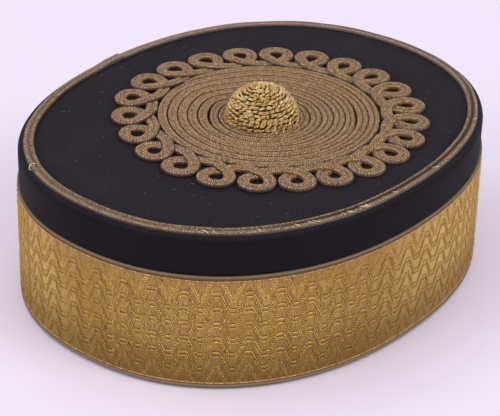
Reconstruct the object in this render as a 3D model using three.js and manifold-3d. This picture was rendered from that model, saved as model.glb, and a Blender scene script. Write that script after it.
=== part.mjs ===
// An oval pillbox cap: a stiff cloth crown, a band of metal lace round its side, braid round its top
// edge, and a coil of braid with a ring of scrolled loops and a domed button on its flat top.
// Millimetres, +Z up. The rim stands on z = 0, and the long axis of the oval lies along X.

import * as THREE from 'three';
import { mergeVertices } from 'three/addons/utils/BufferGeometryUtils.js';
import Module from 'manifold-3d';

// Crown. The length and the width are measured over the lace.
const lengthOverLace = 200;
const widthOverLace = 164.4;
const ovalFullness = 2.19; // exponent of the oval: 2 is an ellipse, and a larger one fills the corners
const crownHeight = 64.3;
const clothWall = 2.2;
const tipThickness = 2;
const shoulderRadius = 2.2; // rounding where the side turns into the flat top
const sideFullness = 0.8; // how far the padded cloth above the lace stands out past the wall behind it
const clearance = 0.3; // between pieces that are sewn or pressed together

// Lace band
const laceThickness = 0.8;
const clothAboveLace = 15.6;
const rimBelowLace = 0.9; // black edge that shows under the lace
const topSelvage = 2.6; // height of the rolled rib along the top of the lace
const bottomSelvage = 2.0;
const selvageRelief = 0.5; // how far both ribs stand out past the lace

// Braid on the top edge: two ribs with a groove between them, tipped outwards
const edgeBraidWidth = 4.4;
const edgeBraidInset = 2.4; // from the outside of the lace to the outer rib
const edgeBraidThickness = 1.5;
const edgeBraidDrop = 0.8; // how much lower the outer rib lies than the inner one

// Coil and scrolls of narrow braid on the flat top
const coilBraidWidth = 4.05; // as it stands in the coil, where the rows press on each other
const scrollBraidWidth = 5.1; // the same braid where it lies flat in the loops
const braidThickness = 1.8;
const grooveDepth = 0.5;
const ornamentForward = 4.6; // the coil's middle, from the middle of the oval along X
const ornamentAside = -3.3; // and along Y
const rowShift = 0.5; // how much further back each row's middle lies than that of the row outside it
const clothMargin = 9; // bare cloth between the loops and the edge braid, across the width
const loopHoleLength = 5.2; // hole of a loop, measured outwards from the coil
const loopPitch = 15.2; // from one loop to the next, through the middles of their holes
const loopSpacing = 0.4; // between neighbouring loops
const firstLoopAngle = THREE.MathUtils.degToRad(7.3);
const loopStray = THREE.MathUtils.degToRad(3); // how far the loops lie from an even spacing
const loopStrayFrom = THREE.MathUtils.degToRad(213); // and where they have strayed most
const linkOverlap = 1.4; // how far the strand along the coil lies under the loops
const crossingLift = 0.9; // how far one strand rides up where it crosses the other
const seamLength = 30; // stretch over which each turn of the coil moves out by one row
const coilEndAngle = THREE.MathUtils.degToRad(60);
const endTaper = 0.72; // share of that stretch that the coil's narrowing outer end fills

// Button
const buttonRadius = 15.2;
const buttonHeight = 13.2; // of the dome above the coil
const buttonForward = 0.2; // its middle, from the middle of the oval along X
const buttonAside = -3.1; // and along Y

// How finely round stretches are divided, and the share of a turn between places on the coil.
const facets = { oval: 72, button: 20, dome: 7, loop: 15, taper: 5 };
const coilStep = 0.0262;

// Places that follow from the sizes above
const halfLength = lengthOverLace / 2;
const halfWidth = widthOverLace / 2;
const wallOutside = laceThickness + clearance; // insets are measured from the outside of the lace
const wallInside = wallOutside + clothWall;
const sideOutside = wallOutside - sideFullness;
const seamInset = Math.max(wallInside, sideOutside + shoulderRadius + clearance); // side meets top
const laceTop = crownHeight - clothAboveLace;
const onTheCloth = crownHeight + clearance;
const coilPitch = coilBraidWidth + clearance;
const roomRound = Math.min(halfWidth - Math.abs(ornamentAside), halfLength - Math.abs(ornamentForward));
const loopTipRadius = roomRound - edgeBraidInset - edgeBraidWidth - clothMargin;
const loopRingRadius = loopTipRadius - scrollBraidWidth - loopHoleLength / 2;
const linkRadius = loopRingRadius - loopHoleLength / 2 - scrollBraidWidth * 1.5 + linkOverlap;
const coilRadius = linkRadius - scrollBraidWidth / 2 - clearance;
const loopCount = Math.max(3, Math.round((2 * Math.PI * loopRingRadius) / loopPitch));
const coilStartRadius = buttonRadius - coilBraidWidth / 2;

function material(color, roughness, metalness) {
  return new THREE.MeshStandardMaterial({ color, roughness, metalness, side: THREE.DoubleSide });
}

const cloth = material(0x1d1c24, 0.95, 0);
const lace = material(0xa47c35, 0.5, 0.55);
const braid = material(0x7d6543, 0.6, 0.4);
const wire = material(0xb08d3a, 0.4, 0.75);

// A point of the oval at a polar angle, moved inwards by inset along the oval's normal.
function ovalPoint(angle, inset) {
  const c = Math.cos(angle);
  const s = Math.sin(angle);
  const n = ovalFullness;
  const radius = (Math.abs(c / halfLength) ** n + Math.abs(s / halfWidth) ** n) ** (-1 / n);
  const x = radius * c;
  const y = radius * s;
  const normal = new THREE.Vector2(
    (Math.sign(x) * Math.abs(x) ** (n - 1)) / halfLength ** n,
    (Math.sign(y) * Math.abs(y) ** (n - 1)) / halfWidth ** n,
  ).normalize();
  return new THREE.Vector2(x, y).addScaledVector(normal, -inset);
}

// Joins a row of outlines, each with as many points, into one closed body. An open row gets flat ends,
// each a fan from the middle point of its outline.
function loft(outlines, closed) {
  const count = outlines[0].length;
  const positions = outlines.flat().flatMap((p) => [p.x, p.y, p.z]);
  const index = [];
  const rows = closed ? outlines.length : outlines.length - 1;
  for (let row = 0; row < rows; row += 1) {
    const here = row * count;
    const next = ((row + 1) % outlines.length) * count;
    for (let i = 0; i < count; i += 1) {
      const j = (i + 1) % count;
      index.push(here + i, here + j, next + j, here + i, next + j, next + i);
    }
  }
  if (!closed) {
    const last = rows * count;
    const fan = Math.floor(count / 2);
    for (let i = 0; i < count; i += 1) {
      const j = (i + 1) % count;
      if (i !== fan && j !== fan) index.push(fan, j, i, last + fan, last + i, last + j);
    }
  }
  const geometry = new THREE.BufferGeometry();
  geometry.setAttribute('position', new THREE.Float32BufferAttribute(positions, 3));
  geometry.setIndex(index);
  return facingOut(geometry);
}

// Turns all faces round if the body's volume comes out negative.
function facingOut(geometry) {
  const p = geometry.attributes.position;
  const index = geometry.index.array;
  const corner = [0, 1, 2].map(() => new THREE.Vector3());
  let volume = 0;
  for (let i = 0; i < index.length; i += 3) {
    corner.forEach((v, k) => v.fromBufferAttribute(p, index[i + k]));
    volume += corner[0].dot(new THREE.Vector3().crossVectors(corner[1], corner[2]));
  }
  if (volume < 0) {
    for (let i = 0; i < index.length; i += 3) [index[i], index[i + 1]] = [index[i + 1], index[i]];
  }
  return geometry;
}

// A band that follows the oval. Each row of its profile is an inset and a height.
function ovalBand(profile) {
  const outlines = [];
  for (let i = 0; i < facets.oval; i += 1) {
    const angle = (2 * Math.PI * i) / facets.oval;
    outlines.push(
      profile.map(({ inset, z }) => {
        const p = ovalPoint(angle, inset);
        return new THREE.Vector3(p.x, p.y, z);
      }),
    );
  }
  return loft(outlines, true);
}

// Section of a two-ribbed braid, as shares of its width and of its thickness.
const fullSection = [
  { across: -0.5, up: 0 },
  { across: -0.47, up: 0.6 },
  { across: -0.27, up: 1 },
  { across: 0, up: 'groove' },
  { across: 0.27, up: 1 },
  { across: 0.47, up: 0.6 },
  { across: 0.5, up: 0 },
];
const plainSection = [
  { across: -0.5, up: 0 },
  { across: -0.33, up: 1 },
  { across: 0, up: 'groove' },
  { across: 0.33, up: 1 },
  { across: 0.5, up: 0 },
];

function sectionHeight(row, thickness) {
  return row.up === 'groove' ? thickness - grooveDepth : row.up * thickness;
}

// Outlines of the braid at places on its route. Each place has a point, a heading and a share of width.
function braidOutlines(places, section, width) {
  return places.map(({ point, heading, share = 1 }) => {
    const side = new THREE.Vector3(heading.y, -heading.x, 0).normalize();
    return section.map((row) =>
      point
        .clone()
        .addScaledVector(side, row.across * width * share)
        .add(new THREE.Vector3(0, 0, sectionHeight(row, braidThickness))),
    );
  });
}

function smoothStep(t) {
  return THREE.MathUtils.smoothstep(t, 0, 1);
}

// How many rows the coil has moved in after a number of turns, counted inwards from its outer end.
// Each turn is a circle, and moves in by one row over the last stretch of it.
function rowsMovedIn(turns) {
  const row = Math.floor(turns);
  const radius = coilRadius - coilPitch * (row + 1);
  const stretch = Math.min(1, seamLength / (2 * Math.PI * Math.max(radius, coilPitch)));
  return row + smoothStep((turns - row - (1 - stretch)) / stretch);
}

// The rows lie closer together at the back than in front, and the braid is narrower where they crowd.
function coilPlaces() {
  const places = [];
  const outerTurn = coilRadius - coilBraidWidth / 2;
  const put = (turns, radius, share) => {
    const angle = coilEndAngle - 2 * Math.PI * turns;
    const back = (rowShift * (outerTurn - radius)) / coilPitch;
    const point = new THREE.Vector3(radius * Math.cos(angle) - back, radius * Math.sin(angle), 0);
    const heading = new THREE.Vector3(-Math.sin(angle), Math.cos(angle), 0);
    const room = coilPitch - clearance + rowShift * Math.cos(angle);
    places.push({ point, heading, share: share * Math.min(1, room / coilBraidWidth) });
  };
  // The outer end narrows as it fills the step that the turn inside it makes.
  const stepTurns = seamLength / (2 * Math.PI * (coilRadius - coilPitch));
  for (let i = facets.taper; i > 0; i -= 1) {
    const along = (endTaper * i) / facets.taper;
    const share = 1 - smoothStep(along);
    put(-along * stepTurns, coilRadius - (coilBraidWidth * share) / 2, share);
  }
  let turns = 0;
  let radius = outerTurn;
  while (radius > coilStartRadius) {
    radius = Math.max(coilStartRadius, outerTurn - coilPitch * rowsMovedIn(turns));
    put(turns, radius, 1);
    turns += coilStep * Math.sqrt(outerTurn / radius);
  }
  return places;
}

// One loop's route: along the ring and outwards from the loop's middle, as shares of the half
// width and half length of the loop's middle line, and how far it is lifted, as a share of the lift.
const scrollRoute = [
  { along: 0, out: 1, lift: 0 },
  { along: -0.74, out: 0.7, lift: 0 },
  { along: -1, out: 0, lift: 0 },
  { along: -0.72, out: -0.7, lift: 0 },
  { along: -0.08, out: -1.08, lift: 0 },
  { along: 0.72, out: -1.45, lift: 0 },
];
const nextLoopStart = [
  { along: -1.45, out: 'link', lift: 0.3 },
  { along: -0.72, out: -1.58, lift: 0.7 },
  { along: 0, out: -1.3, lift: 1 },
  { along: 0.66, out: -0.8, lift: 0.7 },
  { along: 1, out: 0, lift: 0.1 },
  { along: 0.74, out: 0.7, lift: 0 },
];

// The loops are laid by hand, a little closer together on one side of the ring than on the other.
function loopAngle(loop) {
  const even = (2 * Math.PI * loop) / loopCount;
  return even + firstLoopAngle + loopStray * Math.cos(even - loopStrayFrom);
}

function scrollCurve() {
  const halfOut = (loopHoleLength + scrollBraidWidth) / 2;
  const points = [];
  for (let k = 0; k < loopCount; k += 1) {
    [[scrollRoute, k], [nextLoopStart, k + 1]].forEach(([table, loop]) => {
      const room = ((loopAngle(loop + 1) - loopAngle(loop - 1)) / 2) * loopRingRadius;
      const halfAlong = (room - loopSpacing - scrollBraidWidth) / 2;
      table.forEach(({ along, out, lift }) => {
        const angle = loopAngle(loop) + (along * halfAlong) / loopRingRadius;
        const radius = out === 'link' ? linkRadius : loopRingRadius + out * halfOut;
        points.push(new THREE.Vector3(radius * Math.cos(angle), radius * Math.sin(angle), lift * crossingLift));
      });
    });
  }
  return new THREE.CatmullRomCurve3(points, true, 'centripetal');
}

const wasm = await Module();
wasm.setup();

function solidOf(geometry) {
  const bare = geometry.clone();
  bare.deleteAttribute('normal');
  bare.deleteAttribute('uv');
  const merged = mergeVertices(bare, 1e-4);
  return new wasm.Manifold(
    new wasm.Mesh({
      numProp: 3,
      vertProperties: new Float32Array(merged.attributes.position.array),
      triVerts: new Uint32Array(merged.index.array),
    }),
  );
}

function geometryOf(solid) {
  const mesh = solid.getMesh();
  const geometry = new THREE.BufferGeometry();
  geometry.setAttribute('position', new THREE.BufferAttribute(mesh.vertProperties, 3));
  geometry.setIndex(new THREE.BufferAttribute(mesh.triVerts, 1));
  return geometry;
}

function crownSide() {
  const r = shoulderRadius;
  return ovalBand([
    { inset: wallOutside, z: 0 },
    { inset: wallOutside, z: laceTop + clearance },
    { inset: sideOutside, z: laceTop + clearance + sideFullness },
    { inset: sideOutside, z: crownHeight - r },
    { inset: sideOutside + 0.3 * r, z: crownHeight - 0.3 * r },
    { inset: sideOutside + r, z: crownHeight },
    { inset: seamInset, z: crownHeight },
    { inset: wallInside, z: crownHeight - tipThickness - clearance },
    { inset: wallInside, z: 0 },
  ]);
}

function crownTip() {
  const points = [];
  for (let i = 0; i < facets.oval; i += 1) {
    points.push(ovalPoint((2 * Math.PI * i) / facets.oval, seamInset + clearance));
  }
  const geometry = new THREE.ExtrudeGeometry(new THREE.Shape(points), { depth: tipThickness, bevelEnabled: false });
  return geometry.translate(0, 0, crownHeight - tipThickness);
}

function laceBand() {
  return ovalBand([
    { inset: laceThickness, z: rimBelowLace },
    { inset: -selvageRelief / 2, z: rimBelowLace },
    { inset: -selvageRelief, z: rimBelowLace + bottomSelvage / 2 },
    { inset: 0, z: rimBelowLace + bottomSelvage },
    { inset: 0, z: laceTop - topSelvage },
    { inset: -selvageRelief, z: laceTop - topSelvage / 2 },
    { inset: -selvageRelief / 2, z: laceTop },
    { inset: laceThickness, z: laceTop },
  ]);
}

// Its underside lies on the flat top, and its upper side rises inwards.
function edgeBraid() {
  const middle = edgeBraidInset + edgeBraidWidth / 2;
  return ovalBand(
    fullSection.map((row) => {
      const tip = row.up === 0 ? 0 : edgeBraidDrop * (0.5 + row.across);
      const height = sectionHeight(row, edgeBraidThickness) + tip;
      return { inset: middle + row.across * edgeBraidWidth, z: onTheCloth + height };
    }),
  );
}

function coilBraid() {
  return loft(braidOutlines(coilPlaces(), fullSection, coilBraidWidth), false);
}

// The scrolls are cut at the tip of each loop, so that no stretch crosses itself, and then joined.
function scrollBraid() {
  const curve = scrollCurve();
  const steps = facets.loop;
  const places = [];
  for (let i = 0; i < loopCount * steps; i += 1) {
    const t = i / (loopCount * steps);
    places.push({ point: curve.getPoint(t), heading: curve.getTangent(t) });
  }
  const outlines = braidOutlines(places, plainSection, scrollBraidWidth);
  const stretches = [];
  for (let k = 0; k < loopCount; k += 1) {
    const stretch = outlines.slice(k * steps, (k + 1) * steps);
    stretch.push(outlines[((k + 1) * steps) % outlines.length]);
    stretches.push(solidOf(loft(stretch, false)));
  }
  return geometryOf(stretches.reduce((whole, next) => whole.add(next)));
}

// The foot stands inside the coil's first turn, and the dome hides the coil's inner end.
function button() {
  const underside = onTheCloth + braidThickness + clearance;
  const lastRowForward = ornamentForward - (rowShift * (coilRadius - coilBraidWidth / 2 - coilStartRadius)) / coilPitch;
  const offMiddle = Math.hypot(buttonForward - lastRowForward, buttonAside - ornamentAside);
  const footRadius = coilStartRadius - coilBraidWidth / 2 - clearance - offMiddle;
  const profile = [
    new THREE.Vector2(0, onTheCloth),
    new THREE.Vector2(footRadius, onTheCloth),
    new THREE.Vector2(footRadius, underside),
  ];
  for (let i = 0; i <= facets.dome; i += 1) {
    const angle = (Math.PI / 2) * (i / facets.dome);
    const radius = i === facets.dome ? 0 : buttonRadius * Math.cos(angle);
    profile.push(new THREE.Vector2(radius, underside + buttonHeight * Math.sin(angle)));
  }
  return new THREE.LatheGeometry(profile, facets.button).rotateX(Math.PI / 2);
}

const group = new THREE.Group();

function addPiece(parent, name, geometry, finish) {
  const piece = new THREE.Mesh(geometry, finish);
  piece.name = name;
  parent.add(piece);
  return piece;
}

addPiece(group, 'crown_side', crownSide(), cloth);
addPiece(group, 'crown_tip', crownTip(), cloth);
addPiece(group, 'lace_band', laceBand(), lace);
addPiece(group, 'edge_braid', edgeBraid(), braid);

const ornament = new THREE.Group();
ornament.position.set(ornamentForward, ornamentAside, 0);
group.add(ornament);
addPiece(ornament, 'coil_braid', coilBraid(), braid).position.z = onTheCloth;
addPiece(ornament, 'scroll_braid', scrollBraid(), braid).position.z = onTheCloth;
const middle = addPiece(ornament, 'button', button(), wire);
middle.position.set(buttonForward - ornamentForward, buttonAside - ornamentAside, 0);

export default group;
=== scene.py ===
# %% [markdown]
# # An oval pillbox cap, dressed
# The cap is black broadcloth over a stiff oval crown. A band of woven wire lace goes round its side, a
# two-ribbed braid covers the top edge, and narrower braid makes a rosette: a flat coil with a ring of
# scrolled loops round it, and a netted button in the middle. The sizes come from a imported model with
# plain solids, and each piece here is the finely made one that stands in the place of such a solid.
# Everything is in metres, with the cap standing on z = 0.

import math

import bpy
import numpy as np
from mathutils import Matrix, Vector


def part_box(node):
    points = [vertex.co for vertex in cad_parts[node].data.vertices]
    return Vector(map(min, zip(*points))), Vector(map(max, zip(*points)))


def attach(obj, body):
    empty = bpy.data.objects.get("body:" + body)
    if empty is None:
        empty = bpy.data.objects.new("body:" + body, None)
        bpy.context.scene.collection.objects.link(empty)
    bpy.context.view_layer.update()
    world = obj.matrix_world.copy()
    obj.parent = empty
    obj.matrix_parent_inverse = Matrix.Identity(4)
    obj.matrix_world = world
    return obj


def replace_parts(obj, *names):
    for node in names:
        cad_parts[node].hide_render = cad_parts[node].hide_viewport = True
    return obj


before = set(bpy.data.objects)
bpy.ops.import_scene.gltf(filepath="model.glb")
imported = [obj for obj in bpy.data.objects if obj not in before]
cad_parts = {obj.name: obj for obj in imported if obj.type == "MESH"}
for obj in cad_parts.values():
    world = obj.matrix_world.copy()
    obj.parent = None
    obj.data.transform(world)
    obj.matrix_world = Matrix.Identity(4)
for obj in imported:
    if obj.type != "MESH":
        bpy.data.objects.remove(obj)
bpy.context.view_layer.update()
MM = 0.001
TURN = 2 * math.pi
print("solids:", sorted(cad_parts))

# %% [markdown]
# ## Camera
# The picture is a long-lens view from the left end of the cap, 29 degrees above the horizon. A camera
# can be aimed with a constraint, but here the three directions of its view are worked out one by one, so
# the small roll of the real camera goes in as one more number.

# %% Place the camera
LENS_MM = 144.75
AZIMUTH = math.radians(51.747)
ELEVATION = math.radians(29.417)
ROLL = math.radians(1.487)
CAMERA_DISTANCE = 0.818
AIM_ASIDE = -1.23 * MM
AIM_HEIGHT = 23.44 * MM

ahead = Vector((math.sin(AZIMUTH) * math.cos(ELEVATION),
                math.cos(AZIMUTH) * math.cos(ELEVATION),
                -math.sin(ELEVATION)))
level_right = ahead.cross(Vector((0, 0, 1))).normalized()
level_up = level_right.cross(ahead)
right = level_right * math.cos(ROLL) + level_up * math.sin(ROLL)
up = level_up * math.cos(ROLL) - level_right * math.sin(ROLL)
aim = level_right * AIM_ASIDE + Vector((0, 0, AIM_HEIGHT))

camera_data = bpy.data.cameras.new("camera")
camera_data.lens = LENS_MM
camera_data.sensor_width = 36
camera = bpy.data.objects.new("camera", camera_data)
turned = Matrix((right, up, -ahead)).transposed().to_4x4()
camera.matrix_world = Matrix.Translation(aim - ahead * CAMERA_DISTANCE) @ turned
bpy.context.scene.collection.objects.link(camera)
bpy.context.scene.camera = camera
bpy.context.scene.view_settings.view_transform = "Standard"
print("camera at", [round(c, 3) for c in camera.matrix_world.translation])

# %% [markdown]
# ## Shader sums as plain sums
# A material is a net of nodes. Joining nodes by hand hides the sum that they make, so this small class
# stands for one socket and turns `1 - mask * 0.4` into Math nodes. A Math node would turn a colour
# grey, so colours go through `blend`, which makes a Mix node. Every other node comes from `add`.

# %% One socket of a material
class Flow:
    """A value on its way through a material. Sums with it add Math nodes."""

    def __init__(self, finish, node, key=None):
        self.finish = finish
        self.node = node
        shown = [s for s in node.outputs if s.enabled]
        self.socket = shown[0] if key is None else next(s for s in shown if s.name == key)

    def other(self, key):
        return Flow(self.finish, self.node, key)

    def math(self, operation, *values):
        return self.finish.add("ShaderNodeMath", {"operation": operation}, dict(enumerate(values)))

    def __add__(self, value):
        return self.math("ADD", self, value)

    def __sub__(self, value):
        return self.math("SUBTRACT", self, value)

    def __rsub__(self, value):
        return self.math("SUBTRACT", value, self)

    def __mul__(self, value):
        return self.math("MULTIPLY", self, value)

    def __truediv__(self, value):
        return self.math("DIVIDE", self, value)

    def __rtruediv__(self, value):
        return self.math("DIVIDE", value, self)

    def __mod__(self, value):
        return self.math("FLOORED_MODULO", self, value)

    def __rmod__(self, value):
        return self.math("FLOORED_MODULO", value, self)

    def __abs__(self):
        return self.math("ABSOLUTE", self)

    __radd__ = __add__
    __rmul__ = __mul__

    def wave(self):
        """0 to 1 and back once for each whole number that the value passes."""
        return self.math("COSINE", self * TURN) * -0.5 + 0.5

    def ramp(self, low, high):
        """0 up to low, 1 from high on, and smooth in between. It falls where low is above high."""
        ends = {"From Min": low, "From Max": high}
        return self.finish.add("ShaderNodeMapRange", {"interpolation_type": "SMOOTHSTEP"},
                               {"Value": self, **ends})


# %% One material
class Finish:
    """A Principled material whose nodes come from one method."""

    def __init__(self, name, **plain):
        self.material = bpy.data.materials.new(name)
        self.material.use_nodes = True
        self.tree = self.material.node_tree
        self.shader = self.tree.nodes["Principled BSDF"]
        for key, value in plain.items():
            self.shader.inputs[key.replace("_", " ")].default_value = value

    def add(self, kind, settings=None, inputs=None):
        """A node of one kind. Its settings go first, then the values or links of its sockets."""
        node = self.tree.nodes.new(kind)
        for key, value in (settings or {}).items():
            setattr(node, key, value)
        shown = [s for s in node.inputs if s.enabled]
        for key, value in (inputs or {}).items():
            socket = shown[key] if isinstance(key, int) else next(s for s in shown if s.name == key)
            if isinstance(value, Flow):
                self.tree.links.new(value.socket, socket)
            else:
                socket.default_value = value
        return Flow(self, node)

    def feed(self, key, value):
        self.tree.links.new(value.socket, self.shader.inputs[key])

    def blend(self, share, first, second, how="MIX"):
        """One colour over another, by share."""
        return self.add("ShaderNodeMix", {"data_type": "RGBA", "blend_type": how},
                        {"Factor": share, "A": first, "B": second})

    def mark(self, name):
        """What a mesh carries under this name: its vector, or its number by other('Fac')."""
        return self.add("ShaderNodeAttribute", {"attribute_name": name}).other("Vector")

    def parts(self, vector):
        split = self.add("ShaderNodeSeparateXYZ", inputs={"Vector": vector})
        return split, split.other("Y"), split.other("Z")

    def stretched(self, vector, shares):
        return self.add("ShaderNodeVectorMath", {"operation": "MULTIPLY"}, {0: vector, 1: shares})

    def noise(self, vector, scale, detail=2.0, roughness=0.5):
        return self.add("ShaderNodeTexNoise",
                        inputs={"Vector": vector, "Scale": scale, "Detail": detail,
                                "Roughness": roughness})

    def cap_place(self):
        """Where a point lies on the cap, in millimetres."""
        place = self.add("ShaderNodeTexCoord").other("Object")
        return self.stretched(place, (1 / MM, 1 / MM, 1 / MM))

    def bump(self, height, depth, strength=1.0):
        self.feed("Normal", self.add("ShaderNodeBump", inputs={"Strength": strength,
                                                               "Distance": depth,
                                                               "Height": height}))


def tint(red, green, blue):
    """A screen colour of 0 to 255 as the linear colour that a shader takes."""
    shares = np.array([red, green, blue]) / 255
    linear = np.where(shares <= 0.04045, shares / 12.92, ((shares + 0.055) / 1.055) ** 2.4)
    return (*linear.tolist(), 1.0)


print("white in linear light:", tint(255, 255, 255))

# %% [markdown]
# ## Meshes from nets of points
# Cloth, lace and braid are all long nets of points: rows along them and columns across. One function
# joins such a net into faces, and another makes the piece, turns its faces outwards, hangs it on the
# cap's body and writes down values that the material can read, such as how far along the lace a
# point lies.

# %% Faces from rows of points
def net(rows, columns, join_rows=False, join_columns=False, start=0):
    """The four-sided faces of a net whose points are numbered row by row."""
    row = np.arange(rows if join_rows else rows - 1)[:, None]
    column = np.arange(columns if join_columns else columns - 1)[None, :]
    next_row = (row + 1) % rows
    next_column = (column + 1) % columns
    corners = [row * columns + column, row * columns + next_column,
               next_row * columns + next_column, next_row * columns + column]
    return np.stack(corners, -1).reshape(-1, 4) + start


def fan(middle, ring):
    """Triangles from a middle point to a closed ring of points."""
    return np.stack([np.full(len(ring), middle), ring, np.roll(ring, -1)], -1)


def copied(faces, copies, each):
    """The same faces for every copy of a form that has so many points."""
    return (faces[None] + (np.arange(copies) * each)[:, None, None]).reshape(-1, faces.shape[1])


print("faces in a net of 3 rows and 4 columns:", len(net(3, 4)))


# %% Make a named piece
def facing_out(points, blocks):
    """The faces, turned round if they enclose a negative volume."""
    volume = 0.0
    for faces in blocks:
        first = points[faces[:, 0]]
        for second, third in zip(faces.T[1:-1], faces.T[2:]):
            volume += (first * np.cross(points[second], points[third])).sum()
    return blocks if volume > 0 else [faces[:, ::-1] for faces in blocks]


def make_piece(name, points, blocks, finish, marks=None, girth=None):
    """A named piece. marks are values at its points; girth joins the first of them round a ring."""
    faces = facing_out(points, blocks)
    listed = [face for block in faces for face in block.tolist()]
    mesh = bpy.data.meshes.new(name)
    mesh.from_pydata(points.tolist(), [], listed)
    mesh.polygons.foreach_set("use_smooth", np.ones(len(listed), bool))
    corner = np.concatenate([block.ravel() for block in faces])
    for label, values in (marks or {}).items():
        at_corner = np.array(values, np.float32)[corner]
        if girth and at_corner.ndim == 2:
            along = at_corner[:, 0].reshape(-1, 4)
            across_seam = np.ptp(along, axis=1, keepdims=True) > girth / 2
            along += girth * (across_seam & (along < girth / 2))
            at_corner[:, 0] = along.ravel()
        kind, field = ("FLOAT_VECTOR", "vector") if at_corner.ndim == 2 else ("FLOAT", "value")
        mesh.attributes.new(label, kind, "CORNER").data.foreach_set(field, at_corner.ravel())
    mesh.materials.append(finish.material)
    piece = bpy.data.objects.new(name, mesh)
    bpy.context.scene.collection.objects.link(piece)
    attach(piece, "root")
    triangles = sum(len(face) - 2 for face in listed)
    print(f"{name}: {len(points)} points, {triangles} triangles")
    return piece


# %% Lay wires and threads along paths
def make_wires(name, paths, radii, finish, sides=6, shades=None):
    """A piece of closed tubes along short paths of as many points each. shades has one value for each."""
    paths = np.asarray(paths)
    count, steps = paths.shape[:2]
    tangent = np.gradient(paths, axis=1)
    tangent /= np.linalg.norm(tangent, axis=-1, keepdims=True)
    helper = np.array([0.13, 0.21, 0.97])
    first = np.cross(tangent, helper)
    first /= np.linalg.norm(first, axis=-1, keepdims=True)
    second = np.cross(tangent, first)
    turns = np.arange(sides) / sides * TURN
    ring = first[:, :, None] * np.cos(turns)[:, None] + second[:, :, None] * np.sin(turns)[:, None]
    body = paths[:, :, None] + ring * radii[None, :, None, None]
    points = np.concatenate([body.reshape(count, -1, 3), paths[:, :1], paths[:, -1:]], axis=1)
    each = steps * sides + 2
    quads = net(steps, sides, join_columns=True)
    caps = np.concatenate([fan(each - 2, np.arange(sides))[:, ::-1],
                           fan(each - 1, np.arange(sides) + (steps - 1) * sides)])
    blocks = [copied(quads, count, each), copied(caps, count, each)]
    marks = None if shades is None else {"shade": np.repeat(shades, each)}
    return make_piece(name, points.reshape(-1, 3), blocks, finish, marks)


# %% Ease a share
def smooth_share(value):
    """From 0 to 1 with level ends."""
    held = np.clip(value, 0, 1)
    return held * held * (3 - 2 * held)


print("a quarter of the way is eased to", round(float(smooth_share(0.25)), 3))

# %% [markdown]
# ## The oval
# Seen from above the cap is an ellipse with slightly full corners. Its outline can be traced point by
# point, but one formula with an exponent just above two gives the same fullness, and a step square to
# the outline gives every wall, edge and band its own place on it.

# %% The oval and the way round it
SELVAGE_RELIEF = 0.5 * MM
OVAL_FULLNESS = 2.19
WAY_STEPS = 7200
lace_low, lace_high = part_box("lace_band")
HALF_LENGTH = lace_high.x - SELVAGE_RELIEF
HALF_WIDTH = lace_high.y - SELVAGE_RELIEF


def oval(angles, inset=0.0):
    """x and y on the oval at angles seen from its middle, moved inwards square to it by inset."""
    across = np.cos(angles)
    deep = np.sin(angles)
    reach = (np.abs(across / HALF_LENGTH) ** OVAL_FULLNESS
             + np.abs(deep / HALF_WIDTH) ** OVAL_FULLNESS) ** (-1 / OVAL_FULLNESS)
    x = reach * across
    y = reach * deep
    slope_x = np.sign(x) * np.abs(x / HALF_LENGTH) ** (OVAL_FULLNESS - 1) / HALF_LENGTH
    slope_y = np.sign(y) * np.abs(y / HALF_WIDTH) ** (OVAL_FULLNESS - 1) / HALF_WIDTH
    steepness = np.hypot(slope_x, slope_y)
    return x - inset * slope_x / steepness, y - inset * slope_y / steepness


way_angles = math.pi + np.linspace(0, TURN, WAY_STEPS + 1)
way_x, way_y = oval(way_angles)
way_lengths = np.append(0, np.cumsum(np.hypot(np.diff(way_x), np.diff(way_y))))
GIRTH = way_lengths[-1]


def angle_at(way):
    """The angle at a length along the oval, from its left end and round by the front."""
    return np.interp(np.mod(way, GIRTH), way_lengths, way_angles)


def on_wall(way, height, proud):
    """Points on the upright side of the cap, standing proud of the lace's face."""
    x, y = oval(angle_at(way), -np.asarray(proud))
    return np.stack(np.broadcast_arrays(x, y, height), -1)


print("girth over the lace:", round(GIRTH / MM, 1), "mm")

# %% [markdown]
# ## Black broadcloth
# The crown is milled wool cloth. Its face is brushed and shorn, so it shows no weave: only a short nap
# that dulls the light, pale flecks, and a faint bloom at a low angle. A hair system would make a nap,
# but at 0.1 mm it is finer than a picture shows, so the sheen of the shader and a fine bump stand for
# it.

# %% Broadcloth finish
def broadcloth():
    cloth = Finish("broadcloth", Roughness=0.93, Sheen_Weight=0.03, Sheen_Roughness=0.45,
                   Specular_IOR_Level=0.18)
    place = cloth.cap_place()
    nap = cloth.noise(place, 2.6, detail=5.0, roughness=0.7)
    worn = cloth.noise(place, 0.045, detail=3.0)
    threads = cloth.noise(cloth.stretched(place, (0.5, 3.4, 1.0)), 1.0, detail=4.0, roughness=0.75)
    colour = cloth.blend(nap.ramp(0.3, 0.75), tint(19, 18, 22), tint(31, 29, 35))
    colour = cloth.blend(worn.ramp(0.45, 0.75) * 0.5, colour, tint(35, 32, 38))
    height = cloth.parts(place)[2]
    # painted shade: the upright side below the shoulder is darker than the lit top
    colour = cloth.blend(height.ramp(64.2, 62.6) * 0.85, colour, tint(12, 10, 13))
    fleck = threads.ramp(0.6, 0.72) * nap.ramp(0.48, 0.6)
    colour = cloth.blend(fleck * 0.45, colour, tint(112, 106, 120))
    cloth.feed("Base Color", colour)
    cloth.bump(nap + threads * 0.5, 0.12 * MM, strength=0.55)
    return cloth


BROADCLOTH = broadcloth()
print("nodes in the broadcloth:", len(BROADCLOTH.tree.nodes))

# %% [markdown]
# ## The crown
# The side and the top are two pieces of cloth over a stiff shape, with the seam under the edge braid.
# Two sheets could be made, but their edges never show, so one closed skin takes the place of both: up
# the side, over the rounded shoulder, across the top, and back down the inside. Slow waves of a tenth
# of a millimetre keep it from looking machined.

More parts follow.
